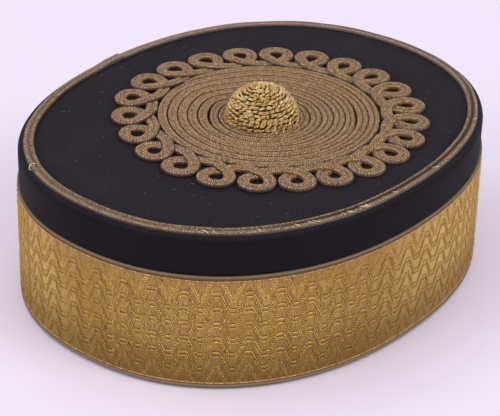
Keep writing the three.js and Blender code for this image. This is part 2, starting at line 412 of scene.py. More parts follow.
# %% Sizes of the crown
crown_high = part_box("crown_side")[1]
CROWN_HEIGHT = crown_high.z
WALL_OUTSIDE = 1.1 * MM
WALL_INSIDE = 3.3 * MM
SIDE_OUTSIDE = 0.3 * MM
SHOULDER_INSET = 2.5 * MM
SIDE_TOP = CROWN_HEIGHT - 2.2 * MM
TOP_UNDERSIDE = CROWN_HEIGHT - 2 * MM
SWAY = 0.1 * MM
TOP_SAG = 0.11 * MM
LACE_TOP = lace_high.z
LACE_BOTTOM = lace_low.z
print("crown", round(CROWN_HEIGHT / MM, 1), "mm high, lace", round(LACE_BOTTOM / MM, 1), "to",
      round(LACE_TOP / MM, 1))


# %% Make the crown's skin
def crown_cloth():
    columns = 360
    angles = np.linspace(0, TURN, columns, endpoint=False)
    profile = [(WALL_OUTSIDE, z) for z in np.array([0, 0.3, 0.9]) * MM]
    profile += [(WALL_OUTSIDE, LACE_TOP - 0.3 * MM)]
    profile += [(SIDE_OUTSIDE + 0.35 * MM, LACE_TOP + 0.25 * MM), (SIDE_OUTSIDE, LACE_TOP + 1.2 * MM)]
    profile += [(SIDE_OUTSIDE, z) for z in np.linspace(LACE_TOP + 2.5 * MM, SIDE_TOP, 8)]
    for turn in np.linspace(0, math.pi / 2, 8)[1:]:
        profile.append((SHOULDER_INSET - (SHOULDER_INSET - SIDE_OUTSIDE) * math.cos(turn),
                        SIDE_TOP + (CROWN_HEIGHT - SIDE_TOP) * math.sin(turn)))
    profile.append((WALL_INSIDE, CROWN_HEIGHT))
    rows = []
    for inset, z in profile:
        sway = SWAY * (np.sin(3 * angles + 40 * z / MM) + np.sin(7 * angles + 1.3)) / 2
        x, y = oval(angles, inset + sway * (LACE_TOP < z < CROWN_HEIGHT))
        rows.append(np.stack([x, y, np.full(columns, z)], -1))
    seam_x, seam_y = oval(angles, WALL_INSIDE)
    for share in np.linspace(1, 0, 33)[1:-1]:
        x, y = seam_x * share, seam_y * share
        waves = np.sin(x / (9 * MM) + 0.6) * np.cos(y / (12 * MM)) - 0.3
        rows.append(np.stack([x, y, CROWN_HEIGHT + TOP_SAG * waves * (1 - share ** 6)], -1))
    hollow = [(share, TOP_UNDERSIDE) for share in (0.1, 0.4, 0.7, 0.96)]
    hollow += [(0.995, TOP_UNDERSIDE - 0.4 * MM)] + [(1.0, z * MM) for z in (60, 30, 0.4, 0)]
    inside = [np.stack([seam_x * share, seam_y * share, np.full(columns, z)], -1) for share, z in hollow]
    middles = np.array([[0, 0, CROWN_HEIGHT], [0, 0, TOP_UNDERSIDE]])
    points = np.concatenate([*rows, *inside, middles])
    outer, inner = len(rows), len(inside)
    last_outer = np.arange(columns) + (outer - 1) * columns
    first_inner = np.arange(columns) + outer * columns
    last_inner = np.arange(columns) + (outer + inner - 1) * columns
    ring = np.arange(columns)
    rim = np.stack([last_inner, np.roll(last_inner, -1), np.roll(ring, -1), ring], -1)
    blocks = [net(outer, columns, join_columns=True),
              net(inner, columns, join_columns=True, start=outer * columns), rim,
              fan(len(points) - 2, last_outer), fan(len(points) - 1, first_inner)[:, ::-1]]
    return make_piece("crown_cloth", points, blocks, BROADCLOTH)


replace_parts(crown_cloth(), "crown_side", "crown_tip")

# %% [markdown]
# ## The lace's pattern
# The band is woven from gilt wire over yellow silk. Five nested zigzags run round it, each drawn by a
# pair of stitched lines, with the tip of one more zigzag above and below. The pattern could be painted
# on, but each stitch catches its own light, so it is worked out once as numbers and used twice: the
# material paints shade in the holes and edges beside the stitches, and a mesh raises every stitch.

# %% The zigzag in numbers
REPEATS = 49
PERIOD = GIRTH / REPEATS
FIRST_PEAK = 53.8 * MM
FLAT = 2.4 * MM
ZIGZAG_DROP = 7.1 * MM
TOP_ROW = 41.05 * MM
ROW_SPACING = 6.42 * MM
ROWS = 5
HALF_GAP = 0.92 * MM
STITCH_PITCH = 0.89 * MM
RUN = PERIOD / 2 - FLAT
# BRIGHTEST and BRIGHT_REACH place a painted highlight on the stitches; the ground is painted lighter far
# from it
BRIGHTEST = 62 * MM
BRIGHT_REACH = 50 * MM
SLOPE_STEPS = round(ZIGZAG_DROP / STITCH_PITCH)
LINES_ABOVE = [
    # the ends of a stitched line over the rows: mm beside a valley, height
    ((4.1, 45.9), (0.4, 37.9)), ((3.2, 45.9), (0.4, 39.6))]
LINES_BELOW = [
    # the same under the rows: mm beside a peak, height
    ((0.5, 10.6), (3.9, 3.7)), ((0.5, 8.9), (3.1, 3.7))]
ABOVE_FROM, ABOVE_SPREAD = 37.4, 0.46
BELOW_FROM, BELOW_SPREAD = 10.3, 0.5
print("one zigzag is", round(PERIOD / MM, 2), "mm wide, its slope", round(RUN / MM, 2), "mm")

# %% [markdown]
# ## The lace's ground
# Between the zigzags the wire lies upright and close, a rib every 0.4 mm, with duller streaks where
# the gilding has worn to the copper and silk below. A rolled edge finishes the band at top and
# bottom, with a bright cord beside it, and the upper edge is brown below a pale line. An image could be
# laid over the band, but a pattern worked out from the way round and the height stays sharp close up.

# %% Heights in the lace, and its shadows
# These are in millimetres, as the material reads them.
LOWER_EDGE = 2.35
LOWER_CORD = (2.45, 3.05)
UPPER_CORD = (46.4, 47.0)
UPPER_EDGE = 47.1
WIRE_SPACING = 0.42


def zigzag_shadow(lace, way, height):
    """Masks from the same zigzag as the mesh: painted shade in the holes and along the edges, the band,
    and its falling side.
    """
    period, flat = PERIOD / MM, FLAT / MM
    from_peak = (way / period + (0.5 - FIRST_PEAK / PERIOD)) % 1 - 0.5
    slope = (abs(from_peak) * period - flat / 2) / (RUN / MM)
    down = slope.math("MINIMUM", slope.math("MAXIMUM", slope, 0.0), 1.0)
    row = (height + down * (ZIGZAG_DROP / MM) - TOP_ROW / MM) / (ROW_SPACING / MM)
    drawn = row.ramp(0.56, 0.48) * row.ramp(0.44 - ROWS, 0.52 - ROWS)
    sloping = down.ramp(0.0, 0.05) * down.ramp(1.0, 0.95)
    above_row = ((row + 0.5) % 1 - 0.5) * (ROW_SPACING / MM)
    off_row = abs(above_row)
    off_line = abs(off_row - HALF_GAP / MM) / (1 + sloping * 1.2)
    between = (down * SLOPE_STEPS).wave().ramp(0.75, 0.3)
    holes = off_line.ramp(0.56, 0.28) * between * sloping * 0.8
    edges = abs(abs(above_row - 0.5) - HALF_GAP / MM).ramp(0.3, 0.1) * (0.7 - sloping * 0.7)
    from_valley = (0.5 - abs(from_peak)) * period
    above = abs(from_valley - (height - ABOVE_FROM) * ABOVE_SPREAD).ramp(1.1, 0.6)
    above = above * height.ramp(ABOVE_FROM + 0.2, ABOVE_FROM + 0.8)
    below = abs(abs(from_peak) * period - (BELOW_FROM - height) * BELOW_SPREAD).ramp(1.1, 0.6)
    below = below * height.ramp(BELOW_FROM + 0.1, BELOW_FROM - 0.5)
    on_rows = off_row.ramp(1.7, 1.0) * drawn * (0.35 + sloping * 0.65)
    band = on_rows + (above + below) * (1 - drawn) * 0.75
    return (holes + edges) * drawn, band, from_peak.ramp(0.05, 0.15) * sloping


def at_height(height, upper, lower, half, soft):
    """A mask of two level lines on the lace: half is half their width, soft their faded edge."""
    return (abs(height - upper).ramp(half + soft, half)
            + abs(height - lower).ramp(half + soft, half))


# %% Lace ground finish
def lace_ground_finish():
    lace = Finish("lace_ground", Specular_IOR_Level=0.25)
    way, height, _ = lace.parts(lace.mark("place"))
    shadow, band, falling = zigzag_shadow(lace, way, height)
    flat_place = lace.add("ShaderNodeCombineXYZ", inputs={"X": way, "Y": height})
    streaks = lace.noise(lace.stretched(flat_place, (3.4, 0.34, 1)), 1.0, detail=3.0, roughness=0.6)
    hatch = lace.noise(lace.stretched(flat_place, (3.2, 0.45, 1)), 1.0, detail=2.0).ramp(0.5, 0.62)
    clouds = lace.noise(lace.cap_place(), 0.055, detail=4.0, roughness=0.6)
    specks = lace.noise(lace.stretched(flat_place, (1.6, 1.1, 1)), 1.0, detail=2.0).ramp(0.66, 0.72)
    wires = (way / WIRE_SPACING).wave()
    colour = lace.blend(streaks.ramp(0.32, 0.68), tint(218, 182, 102), tint(138, 104, 58))
    # painted light: the ground is paler far from the brightest place, at the lace's left and right ends
    from_bright = abs((way / (GIRTH / MM) + (0.5 - BRIGHTEST / GIRTH)) % 1 - 0.5) * (GIRTH / MM)
    colour = lace.blend(from_bright.ramp(50, 88) * 0.6, colour, tint(244, 214, 134))
    colour = lace.blend(clouds.ramp(0.42, 0.7) * 0.6, colour, tint(186, 144, 66))
    colour = lace.blend(band * 0.7, colour, tint(212, 162, 54))
    colour = lace.blend((1 - wires) * 0.4, colour, tint(132, 96, 44))
    # painted shade: the ground is darker towards the upper edge
    colour = lace.blend(height.ramp(39, 47) * 0.35, colour, tint(148, 114, 62))
    worn = hatch * (1 - band) * (falling * 0.6 + clouds.ramp(0.5, 0.62) * 0.35)
    colour = lace.blend(worn, colour, tint(112, 94, 82))
    colour = lace.blend(specks * 0.5, colour, tint(110, 78, 36))
    # darker towards the bottom
    colour = lace.blend(height.ramp(30, 1) * 0.62, colour, tint(108, 74, 30))
    colour = lace.blend(shadow.math("MINIMUM", shadow, 1.0) * 0.95, colour, tint(90, 56, 12))
    rolled = height.ramp(UPPER_EDGE - 0.12, UPPER_EDGE) + height.ramp(LOWER_EDGE + 0.15, LOWER_EDGE)
    rib = lace.blend((way / 0.9 + height * 0.5).wave() * 0.35, tint(138, 120, 92), tint(100, 84, 60))
    brown = height.ramp(UPPER_EDGE + 1.3, UPPER_EDGE + 1.0) * height.ramp(30, 40)
    rib = lace.blend(brown * (1 - streaks.ramp(0.5, 0.66) * 0.6), rib, tint(96, 72, 38))
    colour = lace.blend(rolled, colour, rib)
    cords = at_height(height, sum(UPPER_CORD) / 2, sum(LOWER_CORD) / 2, 0.18, 0.14)
    glint = lace.noise(lace.stretched(flat_place, (1.1, 0.1, 1)), 1.0, detail=2.0).ramp(0.3, 0.75)
    colour = lace.blend(cords, colour, lace.blend(glint, tint(164, 124, 64), tint(230, 196, 124)))
    seams = at_height(height, UPPER_EDGE - 0.06, LOWER_EDGE + 0.03, 0.05, 0.11)
    colour = lace.blend(seams * 0.8, colour, tint(62, 42, 24))
    lace.feed("Base Color", colour)
    lace.feed("Metallic", 0.55 - rolled * 0.5)
    lace.feed("Roughness", 0.5 + streaks * 0.15 + rolled * 0.25)
    lace.bump(wires * 0.4 + band * 0.9 - shadow + streaks * 0.7, 0.2 * MM, strength=0.9)
    return lace


LACE_GROUND = lace_ground_finish()
print("nodes in the lace's ground:", len(LACE_GROUND.tree.nodes))


# %% Make the lace's ground
LACE_BACK = -0.8
LOWER_BULGES = (0.45, 0.22)
UPPER_BULGES = (0.24, 0.46)


def half_round(low, high, bulge, steps):
    """Bulges and heights of one rolled edge or cord."""
    turns = np.linspace(0, math.pi, steps)
    middle, half = (low + high) / 2, (high - low) / 2
    return [(bulge * math.sin(turn), middle - half * math.cos(turn)) for turn in turns]


def lace_ground():
    columns = REPEATS * 16
    bottom, top = LACE_BOTTOM / MM, LACE_TOP / MM
    face = half_round(bottom, LOWER_EDGE, LOWER_BULGES[0], 9)
    face += half_round(*LOWER_CORD, LOWER_BULGES[1], 5)
    face += [(-0.12, 3.2), (0.0, 3.5)] + [(0.0, z) for z in np.linspace(8, 42, 6)]
    face += [(0.0, 46.1), (-0.12, 46.35)]
    face += half_round(*UPPER_CORD, UPPER_BULGES[0], 5)
    face += half_round(UPPER_EDGE, top, UPPER_BULGES[1], 9)
    section = np.array(face + [(LACE_BACK, top), (LACE_BACK, bottom)]) * MM
    way = np.arange(columns) / columns * GIRTH
    points = np.concatenate([on_wall(way, z, proud) for proud, z in section])
    marks = np.stack([np.tile(way, len(section)), np.repeat(section[:, 1], columns),
                      np.zeros(len(points))], -1) / MM
    blocks = [net(len(section), columns, join_rows=True, join_columns=True)]
    return make_piece("lace_ground", points, blocks, LACE_GROUND, {"place": marks},
                      girth=GIRTH / MM)


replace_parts(lace_ground(), "lace_band")

# %% [markdown]
# ## The lace's stitches
# On a slope the wire comes up as short leaning stitches, one for each step of the weave, and at a turn
# as two long level ones. The leaning ones all lean the same way, so they lie along the slope that falls
# to the right, short and thick like beads, and cross the one that rises. An array modifier could
# repeat one zigzag, but it can't vary a stitch, so all stitches are laid out as arrays of numbers and
# built in one mesh. Each is a small closed spindle whose lower side sinks into the ground, and those at
# the left front carry a painted highlight: their gold is paler.

# %% Gilt stitch finish
def stitch_finish():
    gilt = Finish("gilt_stitches", Metallic=0.45, Specular_IOR_Level=0.5)
    shade = gilt.mark("shade").other("Fac")
    clouds = gilt.noise(gilt.cap_place(), 0.055, detail=4.0, roughness=0.6)
    colour = gilt.blend(shade, tint(174, 130, 50), tint(255, 226, 132))
    colour = gilt.blend(clouds.ramp(0.5, 0.75) * 0.4, colour, tint(196, 152, 76))
    # darker towards the bottom
    low_down = gilt.parts(gilt.cap_place())[2].ramp(22, 3)
    colour = gilt.blend(low_down * 0.55, colour, tint(150, 104, 42))
    gilt.feed("Base Color", colour)
    gilt.feed("Roughness", 0.5 - shade * 0.2)
    return gilt


STITCHES = stitch_finish()
print("nodes in the stitches:", len(STITCHES.tree.nodes))


# %% Lay out the stitches of one repeat
def slope_stitches(start, end, gap=0.0):
    """Stitches stepping from start to end, both (way, height) from a peak. gap shifts them upwards."""
    steps = int(round(abs(end[1] - start[1]) / STITCH_PITCH))
    share = (np.arange(steps) + 0.5) / steps
    way = start[0] + (end[0] - start[0]) * share
    height = start[1] + (end[1] - start[1]) * share + gap
    lean = np.full(steps, math.copysign(1, (end[1] - start[1]) * (end[0] - start[0])))
    return np.stack([way, height, lean], -1)


def one_repeat():
    """The leaning stitches of one repeat, and its level ones, as way, height and lean from its peak."""
    leaning, level = [], []
    foot = FLAT / 2 + RUN
    for row in range(ROWS):
        peak = TOP_ROW - row * ROW_SPACING
        for gap in (HALF_GAP, -HALF_GAP):
            for side in (-1, 1):
                start, end = (side * FLAT / 2, peak), (side * foot, peak - ZIGZAG_DROP)
                leaning.append(slope_stitches(start, end, gap))
            level += [(0.0, peak + gap, 0.0), (PERIOD / 2, peak - ZIGZAG_DROP + gap, 0.0)]
    for side in (-1, 1):
        for middle, lines in ((PERIOD / 2, LINES_ABOVE), (0.0, LINES_BELOW)):
            for ends in lines:
                start, end = [(middle + side * beside * MM, height * MM) for beside, height in ends]
                leaning.append(slope_stitches(start, end))
    return np.concatenate(leaning), np.array(level)


leaning, level = one_repeat()
print("stitches in one repeat:", len(leaning), "leaning and", len(level), "level")


# %% Build stitches in one mesh
rng = np.random.default_rng(17)


def spindle(lengths_shares, widths_shares):
    """Rings of a three-sided closed spindle along x, with its sharp side up: points and faces."""
    rings = []
    for along, wide in zip(lengths_shares, widths_shares):
        rings.append([(along, -0.5 * wide, -0.25), (along, 0.0, wide), (along, 0.5 * wide, -0.25)])
    body = np.array(rings).reshape(-1, 3)
    points = np.concatenate([[(-0.5, 0, 0)], body, [(0.5, 0, 0)]])
    count = len(rings)
    quads = net(count, 3, join_columns=True, start=1)
    first = np.arange(3) + 1
    last = np.arange(3) + 1 + 3 * (count - 1)
    caps = np.concatenate([fan(0, first)[:, ::-1], fan(len(points) - 1, last)])
    return points, quads, caps


def lay_stitches(name, places, form, size, shades):
    """One mesh of all stitches. places are way, height and angle; size is length, width and relief."""
    shape, quads, caps = form
    way, height, turn = places.T
    count = len(places)
    from_bright = (way - BRIGHTEST + GIRTH / 2) % GIRTH - GIRTH / 2
    # painted highlight: stitches near the left front are made paler gold
    shades = shades * (0.35 + 0.65 * np.exp(-(from_bright / BRIGHT_REACH) ** 2))
    grown = size * (1 + 0.14 * rng.standard_normal((count, 3))).clip(0.7, 1.35)
    local = shape[None] * grown[:, None]
    cos, sin = np.cos(turn)[:, None], np.sin(turn)[:, None]
    along = local[..., 0] * cos - local[..., 1] * sin
    upward = local[..., 0] * sin + local[..., 1] * cos
    points = on_wall(way[:, None] + along, height[:, None] + upward, local[..., 2]).reshape(-1, 3)
    blocks = [copied(quads, count, len(shape)), copied(caps, count, len(shape))]
    return make_piece(name, points, blocks, STITCHES, {"shade": np.repeat(shades, len(shape))})


# %% Raise the stitches all round
CROSSING_STITCH = np.array([1.15, 0.5, 0.55]) * MM
BEAD_SHARES = (0.64, 1.25, 1.15)
LEVEL_STITCH = np.array([2.5, 0.44, 0.36]) * MM
CROSSING_LEAN = -41
BEAD_LEAN = -57


def repeated(pattern, wander, swing):
    """The pattern at every repeat, each stitch a little out of place."""
    copies = np.tile(pattern, (REPEATS, 1))
    copies[:, 0] += np.repeat(FIRST_PEAK + np.arange(REPEATS) * PERIOD, len(pattern))
    copies[:, :2] += rng.normal(0, wander, (len(copies), 2))
    slope = copies[:, 2]
    lean = np.select([slope > 0, slope < 0], [CROSSING_LEAN, BEAD_LEAN], 0)
    copies[:, 2] = np.radians(lean) + rng.normal(0, swing, len(copies))
    return copies


many = repeated(leaning, 0.05 * MM, 0.12)
few = repeated(level, 0.04 * MM, 0.03)
short = spindle((-0.25, 0.25), (1.0, 1.0))
long = spindle((-0.42, -0.22, 0.0, 0.22, 0.42), (0.8, 1.0, 1.0, 1.0, 0.8))
many_sizes = np.tile(CROSSING_STITCH, (len(many), 1))
many_sizes[np.tile(leaning[:, 2] < 0, REPEATS)] *= BEAD_SHARES
lay_stitches("lace_slopes", many, short, many_sizes, rng.beta(2.8, 1.2, len(many)))
lay_stitches("lace_turns", few, long, LEVEL_STITCH, rng.beta(4, 1.8, len(few)))

# %% [markdown]
# ## Two-ribbed braid
# The braid is two cords side by side, wrapped together in fine wire that crosses from one to the other,
# so the strands lean one way on one rib and the other way on the next. Modelling every wire would take
# millions of faces. Here a net follows the braid closely enough for its section and for the ripple of
# the strands, and the material adds the finer wires. It also paints shade into the grooves, those at the
# sides of a braid more on the left of the cap and the middle one more on the right, adds painted glints
# and highlights on the wires, and paints light that pales the back of the edge braid, as on the real cap.

# %% Braid finish
STRAND_PITCH = 0.86 * MM
STRAND_SLANT = 1.6
PICTURE_RIGHT = (0.62, -0.785)
PICTURE_BACK = (0.785, 0.62)
ROSETTE_AT = (4.5, -3.2)


def lies_towards(direction, x, y, start=(0.0, 0.0)):
    """How many millimetres a point lies from the start in one direction of the picture."""
    return (x - start[0]) * direction[0] + (y - start[1]) * direction[1]


def braid_finish(name, outer, inner, groove, gleam, wide, deep, bloom=0.0):
    """Wire braid. gleam is for its painted glint specks, wide and deep for its middle groove's painted
    shade, bloom for the painted light on its far side.
    """
    braid = Finish(name, Specular_IOR_Level=0.45)
    way, across, _ = braid.parts(braid.mark("place"))
    side = abs(across)
    pitch = STRAND_PITCH / MM
    strands = (way / pitch + side * STRAND_SLANT).wave()
    fine = (way / (pitch / 4) + side * 6).wave()
    check_highlights = (way / pitch - side * 2.4).wave() * (side * 7).wave() * side.ramp(0.49, 0.42)
    place = braid.cap_place()
    grain = braid.noise(place, 2.0, detail=3.0, roughness=0.8)
    clouds = braid.noise(place, 0.13, detail=3.0)
    colour = braid.blend(across.ramp(-0.1, 0.1), outer, inner)
    colour = braid.blend(clouds.ramp(0.35, 0.7) * 0.45, colour, tint(150, 120, 78))
    colour = braid.blend(strands * 0.6, colour, groove)
    colour = braid.blend(grain.ramp(0.5, 0.38) * 0.8, colour, groove)
    # painted highlights: bright checks where the light catches the strands
    colour = braid.blend((check_highlights * grain.ramp(0.46, 0.56)).ramp(0.1, 0.5), colour, tint(240, 202, 136))
    # painted glints: pale specks, which also turn more metallic and glossy
    glint_speck = grain.ramp(0.58, 0.64) * gleam
    colour = braid.blend(glint_speck, colour, tint(244, 216, 166))
    x, y, _ = braid.parts(place)
    to_right = lies_towards(PICTURE_RIGHT, x, y, ROSETTE_AT).ramp(-12, 22)
    # painted shade in the grooves: the middle one deeper towards the right, the outer ones towards the
    # left
    middle_groove_shade = side.ramp(wide, 0.02) * (0.35 + to_right * 0.5) * deep
    outer_groove_shade = side.ramp(0.39, 0.48) * (0.95 - to_right * 0.55)
    colour = braid.blend((middle_groove_shade + outer_groove_shade) * 0.8, colour, groove)
    # painted light: the back of the edge braid is paled where light falls on it from behind
    if bloom:
        behind = lies_towards(PICTURE_BACK, x, y).ramp(5, 60)
        colour = braid.blend(behind * bloom, colour, tint(210, 190, 174))
    braid.feed("Base Color", colour)
    braid.feed("Metallic", 0.25 + glint_speck * 0.5)
    braid.feed("Roughness", 0.68 - glint_speck * 0.3)
    braid.bump(grain * 0.8 - strands * 0.5 + fine * 0.35, 0.14 * MM, strength=0.75)
    return braid


BROWN_BRAID = braid_finish("brown_braid", tint(140, 116, 90), tint(168, 130, 74), tint(46, 30, 16),
                           gleam=0.8, wide=0.12, deep=1.0)
GREY_BRAID = braid_finish("grey_braid", tint(134, 118, 102), tint(116, 96, 72), tint(54, 36, 20),
                          gleam=0.4, wide=0.3, deep=1.6, bloom=0.16)
LOOP_BRAID = braid_finish("loop_braid", tint(126, 103, 79), tint(150, 115, 65), tint(42, 27, 15),
                          gleam=0.8, wide=0.12, deep=0.4)
print("nodes in a braid:", len(BROWN_BRAID.tree.nodes))


# %% Run a braid along a way
BRAID_SECTION = np.array([
    # share across, share of the height
    (-0.50, 0.02), (-0.495, 0.56), (-0.42, 0.82), (-0.26, 1.00), (-0.11, 0.93), (-0.03, 0.77),
    (0.03, 0.77), (0.11, 0.93), (0.26, 1.00), (0.42, 0.82), (0.495, 0.56), (0.50, 0.02)])
STRAND_RELIEF = 0.07 * MM


def held_at_foot(rise):
    """What share of a ripple or a kink reaches a point, less at the foot of the braid."""
    return np.minimum(1, rise * 1.6)


def ripple(way, across):
    """The height of the strands, from 0 down to minus their relief."""
    lean = way[:, None] / STRAND_PITCH + np.abs(across)[None] * STRAND_SLANT
    return -STRAND_RELIEF * (0.5 - 0.5 * np.cos(TURN * lean))


def braid_points(middle, side, way, width, height, lift):
    """Points of a braid whose middle runs along the given points, side pointing to its inner edge."""
    across, rise = BRAID_SECTION.T
    reach = np.broadcast_to(width * across, (len(way), len(across)))
    up_by = height * rise + ripple(way, across) * held_at_foot(rise)
    flat = middle[:, None] + side[:, None] * reach[..., None]
    z = lift[:, None] + up_by
    return np.concatenate([flat, z[..., None]], -1)


def braid_marks(way, inner=1):
    """What the material reads at each point: the way along in mm, and the share across."""
    across = inner * BRAID_SECTION[:, 0]
    return np.stack(np.broadcast_arrays(way[:, None] / MM, across[None], 0.0), -1).reshape(-1, 3)


print("points across a braid:", len(BRAID_SECTION))

# %% [markdown]
# ## Braid on the top edge
# One length goes round the top and covers the seam, its outer rib a little lower than its inner one
# because it lies on the shoulder. Its ends meet at the left, where a pale thread is hooked over it, and
# at the back left it is pushed up in a small kink. A curve with a bevel would give the same section
# all the way, but only a net can have the wrinkles and the kink.

# %% Make the edge braid
edge_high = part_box("edge_braid")[1]
EDGE_INSET = HALF_LENGTH - edge_high.x
EDGE_WIDTH = 4.4 * MM
EDGE_HEIGHT = 1.5 * MM
EDGE_DROP = 0.45 * MM
EDGE_STEP = 0.24 * MM
CLOTH_TOP = CROWN_HEIGHT + 0.02 * MM
KINK_FROM, KINK_TO = 430.5 * MM, 449 * MM
KINK_RISE = 0.75 * MM


def on_edge(way, share, rise, proud=0.0):
    """Points on the edge braid: share across it from -0.5 outside, rise as a share of its height."""
    sway = 0.12 * MM * np.sin(way / (23 * MM)) + 0.07 * MM * np.sin(way / (7.1 * MM) + 2)
    x, y = oval(angle_at(way), EDGE_INSET + EDGE_WIDTH * (0.5 + share) + sway)
    wrinkle = 1 + 0.05 * np.sin(way / (4.3 * MM) + 9 * share)
    kink = smooth_share((way - KINK_FROM) / (1.5 * MM)) * smooth_share((KINK_TO - way) / (11 * MM))
    z = CLOTH_TOP - EDGE_DROP * smooth_share(0.3 - share) + EDGE_HEIGHT * rise * wrinkle + proud
    z = z + KINK_RISE * kink * held_at_foot(rise)
    return np.stack(np.broadcast_arrays(x, y, z), -1)


def edge_braid():
    count = int(GIRTH / EDGE_STEP)
    way = np.arange(count) / count * GIRTH
    across, rise = BRAID_SECTION.T
    rows = []
    for share, up_share in zip(across, rise):
        depth = ripple(way, np.array([share]))[:, 0] * held_at_foot(up_share)
        rows.append(on_edge(way, share, up_share, depth))
    points = np.stack(rows, 1).reshape(-1, 3)
    blocks = [net(count, len(across), join_rows=True, join_columns=True)]
    return make_piece("edge_braid_ribs", points, blocks, GREY_BRAID,
                      {"place": braid_marks(way)}, girth=GIRTH / MM)


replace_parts(edge_braid(), "edge_braid")

# %% [markdown]
# ## Frayed strands and the join
# In front a few strands of the wrapping have worn loose and shine where they cross the outer rib, and at
# the left end a pale thread is hooked over the join. They could be painted on the braid, but loose
# strands stand off it, so they are thin tubes laid over its surface.

# %% Lay the loose strands
def pale_gilt_finish():
    pale = Finish("pale_gilt", Metallic=0.3, Roughness=0.4)
    tone = pale.noise(pale.cap_place(), 0.8, detail=2.0)
    pale.feed("Base Color", pale.blend(tone.ramp(0.35, 0.65), tint(180, 158, 112), tint(248, 230, 184)))
    return pale


PALE_GILT = pale_gilt_finish()
FRAYED = [
    # mm along the way where each loose strand crosses the rib
    49.0, 52.5, 69.5, 84.5, 90.0, 92.2, 104.3, 107.5, 113.8, 114.9, 116.2, 125.0, 131.2, 158.0, 205.0]
JOIN = 542.6 * MM
FRAYED_RADIUS = 0.15 * MM
THREAD_RADIUS = 0.2 * MM


def loose_strands():
    shares = np.array([-0.45, -0.38, -0.31, -0.24, -0.17, -0.1])
    rises = np.array([0.74, 0.9, 0.98, 1.0, 0.97, 0.93])
    paths = []
    for start in np.array(FRAYED) * MM:
        slant = rng.uniform(3.5, 9) * MM
        paths.append(on_edge(start - slant * (shares + 0.28), shares, rises, 0.1 * MM))
    radii = FRAYED_RADIUS * np.array([0.6, 1, 1.2, 1.2, 1, 0.6])
    make_wires("loose_strands", paths, radii, PALE_GILT)


def join_thread():
    route = np.array([
        # way, share across, rise, how far it stands proud
        (0.4, 0.04, 0.8, 0.1), (0.1, -0.12, 0.95, 0.2), (0.0, -0.3, 1.0, 0.25), (0.1, -0.46, 0.7, 0.3),
        (0.6, -0.58, 0.3, 0.2), (1.4, -0.62, 0.1, 0.1), (2.2, -0.56, 0.3, 0.1), (2.7, -0.5, 0.5, 0.0)])
    way, share, rise, proud = route.T
    path = on_edge(JOIN + way * MM, share, rise, proud * MM)
    make_wires("join_thread", path[None], THREAD_RADIUS * np.ones(len(path)), PALE_GILT, sides=8)


loose_strands()
join_thread()

# %% [markdown]
# ## The flat coil
# The narrow braid is wound from outside in, sewn down row against row. A spiral formula would be the
# short way, but it leaves a wedge of cloth at its outer end, so here, as in the real coil, each row is a
# circle and steps inwards over 30 mm of its length. Three rows leave a thin crescent outside them where
# the dark ground shows.

# %% Sizes of the rosette
RING_MIDDLE = np.array([4.6, -3.3]) * MM
COIL_MIDDLE = np.array([4.3, -3.1]) * MM
ROW_SHIFT = 0.5 * MM
COIL_RADIUS = 44.2 * MM
COIL_WIDTH = 4.05 * MM
COIL_PITCH = 4.35 * MM
COIL_START = 13.175 * MM
COIL_END_ANGLE = math.radians(60)
STEP_LENGTH = 30 * MM
STEP_TURNS = STEP_LENGTH / (TURN * (COIL_RADIUS - COIL_PITCH))
COIL_TURNS = 7.2
TAIL_SHARE = 0.72
ROUTE_STEPS = 20000
WIDEST_BRAID = 4.65 * MM
BRAID_STEP = 0.25 * MM
CRESCENTS = [
    # row that leaves a gap outside it, angle of the middle, half length in degrees, width in mm
    (2, -48, 26, 0.7), (3, 236, 26, 0.4), (5, 128, 34, 0.5)]
BRAID_HEIGHT = 1.75 * MM
print("each row of the coil steps in over", round(STEP_TURNS * 360), "degrees")


# %% Rows that step inwards
def rows_moved_in(turns):
    """How many rows the coil has stepped inwards after so many turns."""
    row = np.floor(turns)
    return row + smooth_share((turns - row - (1 - STEP_TURNS)) / STEP_TURNS)


def evenly(points, step):
    """Rows of numbers that start with x and y, taken at even steps of the path, and the way to each."""
    lengths = np.append(0, np.cumsum(np.linalg.norm(np.diff(points[:, :2], axis=0), axis=1)))
    wanted = np.linspace(0, lengths[-1], int(lengths[-1] / step) + 1)
    moved = np.stack([np.interp(wanted, lengths, column) for column in points.T], -1)
    return moved, wanted


# %% Make the coil
def coil_route():
    """The coil's middle line, its outward side, the room that its braid has, and the way along it."""
    turns = np.linspace(-TAIL_SHARE * STEP_TURNS, COIL_TURNS, ROUTE_STEPS)
    full = 1 - smooth_share(-turns / STEP_TURNS)
    radius = COIL_RADIUS - COIL_WIDTH / 2 * full - COIL_PITCH * rows_moved_in(np.maximum(turns, 0))
    kept = radius >= COIL_START
    turns, radius, full = turns[kept], radius[kept], full[kept]
    angle = COIL_END_ANGLE - TURN * turns
    wander = 0.1 * MM * np.sin(angle * 2.0 + turns * 1.7) * np.sin(turns * 2.9)
    back = ROW_SHIFT * (COIL_RADIUS - COIL_WIDTH / 2 - radius) / COIL_PITCH
    outwards = np.stack([np.cos(angle), np.sin(angle)], -1)
    apart = np.zeros_like(angle)
    for row, middle, reach, wide in CRESCENTS:
        off = np.abs((angle - math.radians(middle) + math.pi) % TURN - math.pi) / math.radians(reach)
        apart += wide * MM * smooth_share(1 - off) * (np.floor(turns) == row)
    path = COIL_MIDDLE + (radius + wander - apart / 2)[:, None] * outwards
    path[:, 0] -= back
    room = (COIL_PITCH + ROW_SHIFT * np.cos(angle)) * full - apart
    carried, way = evenly(np.column_stack([path, outwards, room]), BRAID_STEP)
    return carried[:, :2], carried[:, 2:4], carried[:, 4], way


